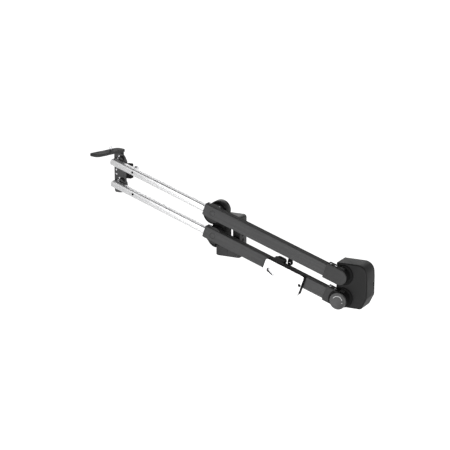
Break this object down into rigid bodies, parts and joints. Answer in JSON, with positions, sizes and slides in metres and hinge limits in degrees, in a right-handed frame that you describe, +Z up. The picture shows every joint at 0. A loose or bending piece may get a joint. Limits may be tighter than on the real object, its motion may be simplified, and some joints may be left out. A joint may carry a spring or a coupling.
{
  "type": "camera jib",
  "caption": "Motorised parallelogram camera jib: black rear tubes with telescoping silver bars, a level camera platform in front and a level counterweight behind.",
  "frame": {"origin": "mouth of the tripod socket in the base plate's underside, on the pan axis", "axes": "+X towards the counterweight, +Y away from the side the arms are on, +Z up"},
  "size_m": [1.0237, 0.1976, 0.4762],
  "materials": {
    "anodised_black": "satin black anodised",
    "black_plastic": "fine matte moulded",
    "silver_bar": "satin clear anodised",
    "white_cover": "smooth white",
    "steel": "fine turned",
    "brass": "cut",
    "board": "solder mask"
  },
  "bodies": {
    "base": {"base_plate": "anodised_black", "pan_gear": "steel", "pan_shaft": "steel"},
    "turret": {"pan_housing": "anodised_black", "pan_bearing": "steel", "pan_motor": "steel", "drive_housing": "anodised_black", "drive_cover": "anodised_black", "cover_screws": "steel", "lower_bearings": "steel", "upper_bearings": "steel", "lift_motor": "steel", "circuit_board": "board", "power_socket": "black_plastic"},
    "pan_pinion": {"pan_pinion": "brass"},
    "lift_pinion": {"lift_pinion": "brass"},
    "power_button": {"power_button": "black_plastic"},
    "lower_arm": {"lower_arm_tube": "anodised_black", "lower_arm_collar": "black_plastic", "lower_arm_hub": "anodised_black", "lower_arm_shaft": "steel", "lower_end_cap": "black_plastic", "lower_arm_screws": "steel", "lower_pivot_cover": "anodised_black", "lift_gear": "steel"},
    "upper_arm": {"upper_arm_tube": "anodised_black", "upper_arm_collar": "black_plastic", "upper_arm_hub": "anodised_black", "upper_arm_shaft": "steel", "upper_end_cap": "black_plastic", "upper_arm_screws": "steel", "upper_pivot_cover": "anodised_black"},
    "lower_bar": {"lower_bar": "silver_bar", "lower_bar_tip": "black_plastic", "lower_bar_shoe": "black_plastic"},
    "upper_bar": {"upper_bar": "silver_bar", "upper_bar_tip": "black_plastic", "upper_bar_shoe": "black_plastic"},
    "head": {"head_plate": "anodised_black", "head_pins": "steel", "head_screws": "steel", "head_bearings": "anodised_black", "head_box": "black_plastic", "head_bracket": "anodised_black", "platform": "anodised_black", "camera_stud": "steel"},
    "thumb_screw": {"head_thumb_screw": "silver_bar"},
    "counterweight": {"weight_case": "black_plastic", "weight_cover": "black_plastic", "weight_slabs": "steel", "weight_bolts": "steel", "rear_bosses": "black_plastic", "upper_rear_pin": "steel", "lower_rear_pin": "steel"},
    "clamp_knob": {"clamp_knob": "black_plastic"},
    "carriage": {"carriage_plate": "white_cover", "carriage_body": "black_plastic", "carriage_clamp": "black_plastic", "carriage_screws": "steel"},
    "carriage_lock": {"carriage_lock": "black_plastic"}
  },
  "joints": [
    {"name": "pan", "type": "hinge", "parent": "base", "child": "turret", "pos_m": [0, 0, 0.02], "axis": [0, 0, 1], "continuous": true},
    {"name": "pan_pinion_spin", "type": "hinge", "parent": "turret", "child": "pan_pinion", "pos_m": [0.02521, 0.00675, 0.009], "axis": [0, 0, 1], "continuous": true},
    {"name": "lift", "type": "hinge", "parent": "turret", "child": "lower_arm", "pos_m": [-0.038, -0.01, 0.08], "axis": [0, 1, 0], "range_deg": [-58.9, 11.1]},
    {"name": "upper_arm_pivot", "type": "hinge", "parent": "turret", "child": "upper_arm", "pos_m": [-0.038, -0.01, 0.16], "axis": [0, 1, 0], "range_deg": [-59.5, 11.7]},
    {"name": "lift_pinion_spin", "type": "hinge", "parent": "turret", "child": "lift_pinion", "pos_m": [-0.038, -0.003, 0.0589], "axis": [0, 1, 0], "range_deg": [-29, 149]},
    {"name": "bar_slide", "type": "slide", "parent": "upper_arm", "child": "upper_bar", "axis": [0.9461, 0, -0.3239], "range_m": [0, 0.29]},
    {"name": "lower_bar_slide", "type": "slide", "parent": "lower_arm", "child": "lower_bar", "axis": [0.9461, 0, -0.3239], "range_m": [-0.001, 0.291]},
    {"name": "head_level", "type": "hinge", "parent": "upper_bar", "child": "head", "pos_m": [-0.42968, -0.03, 0.2941], "axis": [0, 1, 0], "range_deg": [-11.7, 59.5]},
    {"name": "weight_level", "type": "hinge", "parent": "upper_arm", "child": "counterweight", "pos_m": [0.4445, -0.03, -0.0052], "axis": [0, 1, 0], "range_deg": [-11.7, 59.5]},
    {"name": "clamp_knob_turn", "type": "hinge", "parent": "counterweight", "child": "clamp_knob", "pos_m": [0.4445, -0.067, -0.0852], "axis": [0, 1, 0], "range_deg": [-180, 180]},
    {"name": "thumb_screw_turn", "type": "hinge", "parent": "head", "child": "thumb_screw", "pos_m": [-0.3715, -0.0136, 0.277], "axis": [1, 0, 0], "range_deg": [-180, 180]},
    {"name": "carriage_slide", "type": "slide", "parent": "lower_arm", "child": "carriage", "axis": [0.9461, 0, -0.3239], "range_m": [-0.1, 0.075]},
    {"name": "carriage_lock_turn", "type": "hinge", "parent": "carriage", "child": "carriage_lock", "pos_m": [0.24684, -0.025, 0.01049], "axis": [0, 1, 0], "range_deg": [-90, 45]},
    {"name": "power_button_press", "type": "slide", "parent": "turret", "child": "power_button", "axis": [-1, 0, 0], "range_m": [0, 0.0012], "stiffness_N_per_m": 400, "springref_m": -0.0005}
  ],
  "couplings": [
    {"joint": "pan_pinion_spin", "follows": "pan", "ratio": 3},
    {"joint": "upper_arm_pivot", "follows": "lift", "ratio": 1},
    {"joint": "lift_pinion_spin", "follows": "lift", "ratio": -2.5},
    {"joint": "lower_bar_slide", "follows": "bar_slide", "ratio": 1},
    {"joint": "head_level", "follows": "lift", "ratio": -1},
    {"joint": "weight_level", "follows": "lift", "ratio": -1}
  ]
}
